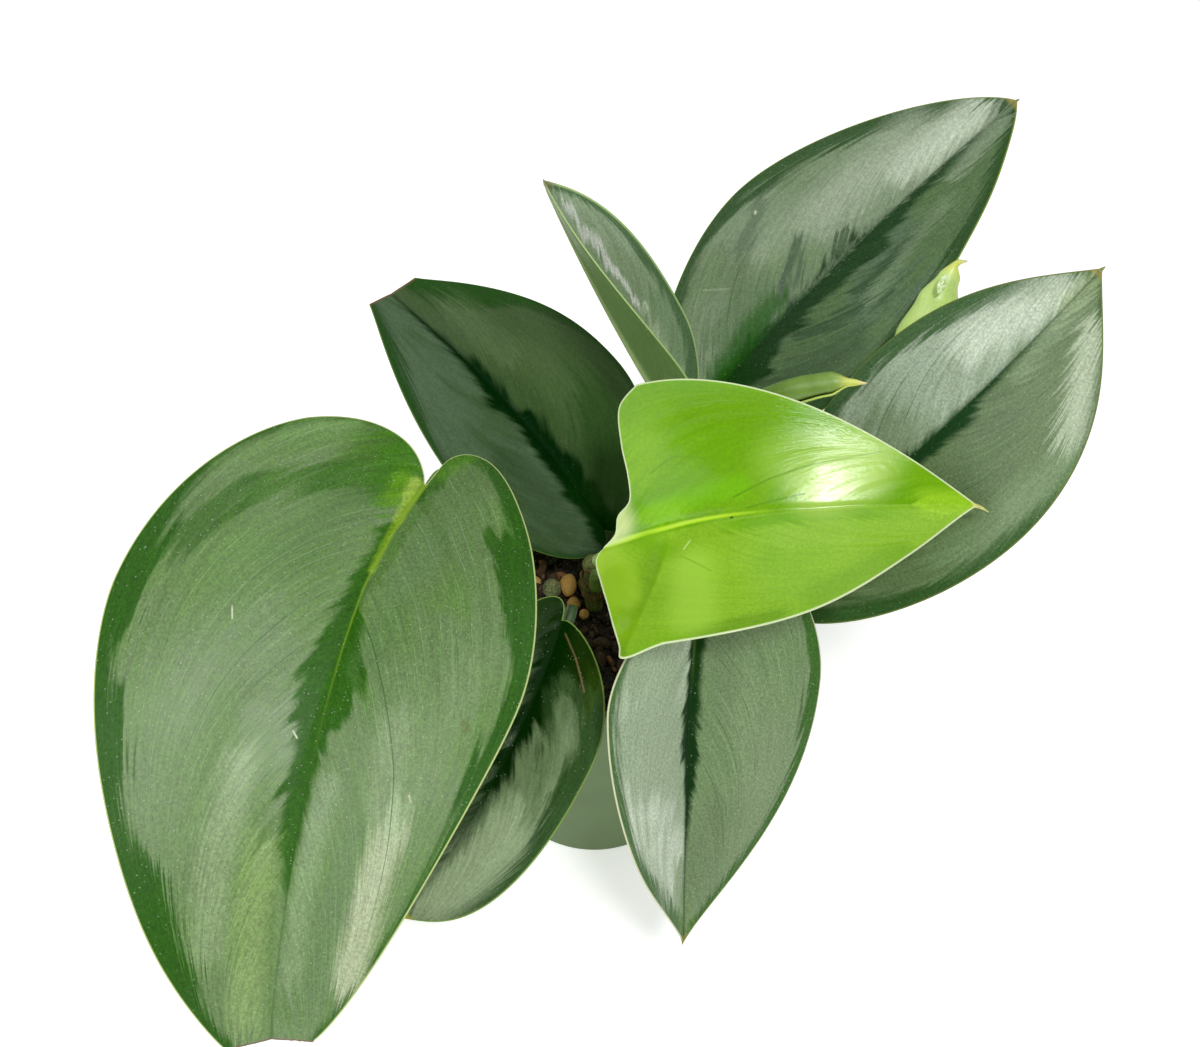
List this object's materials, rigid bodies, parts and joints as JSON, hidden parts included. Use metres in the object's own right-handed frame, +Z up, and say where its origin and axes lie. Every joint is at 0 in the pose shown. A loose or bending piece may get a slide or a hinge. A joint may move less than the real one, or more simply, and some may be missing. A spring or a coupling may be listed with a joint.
{
  "type": "potted moonlight scindapsus",
  "caption": "Young climbing aroid with broad pointed silver-green leaves on slender stalks, one lime new leaf, standing in a small tapered nursery pot of bark mix.",
  "frame": {"origin": "middle of the pot's flat underside, on the surface that it stands on", "axes": "+Z up, -Y toward the front of the plant, +X to its right as seen from the front"},
  "size_m": [0.2685, 0.245, 0.2195],
  "materials": {
    "pot": "smooth matte moulded plastic",
    "soil": "coarse damp bark mix with a few pebbles",
    "stem": "green stem with brown node rings",
    "stalk": "smooth satin leaf stalk",
    "leaf": "satin leaf, silver-grey on dark green",
    "lime_leaf": "glossy young leaf",
    "shoot": "pale rolled young leaf"
  },
  "bodies": {
    "root": {"pot": "pot", "soil": "soil", "vine_left": "stem", "vine_right": "stem", "vine_front": "stem", "stalk_great": "stalk", "stalk_upper_left": "stalk", "stalk_folded": "stalk", "stalk_lime": "stalk", "stalk_upper_right": "stalk", "stalk_right": "stalk", "stalk_front": "stalk", "stalk_lower_front": "stalk", "leaf_great": "leaf", "leaf_upper_left": "leaf", "leaf_folded": "leaf", "leaf_lime": "lime_leaf", "leaf_upper_right": "leaf", "leaf_right": "leaf", "leaf_front": "leaf", "leaf_lower_front": "leaf", "furled_leaf": "shoot", "spear": "shoot"}
  },
  "joints": []
}
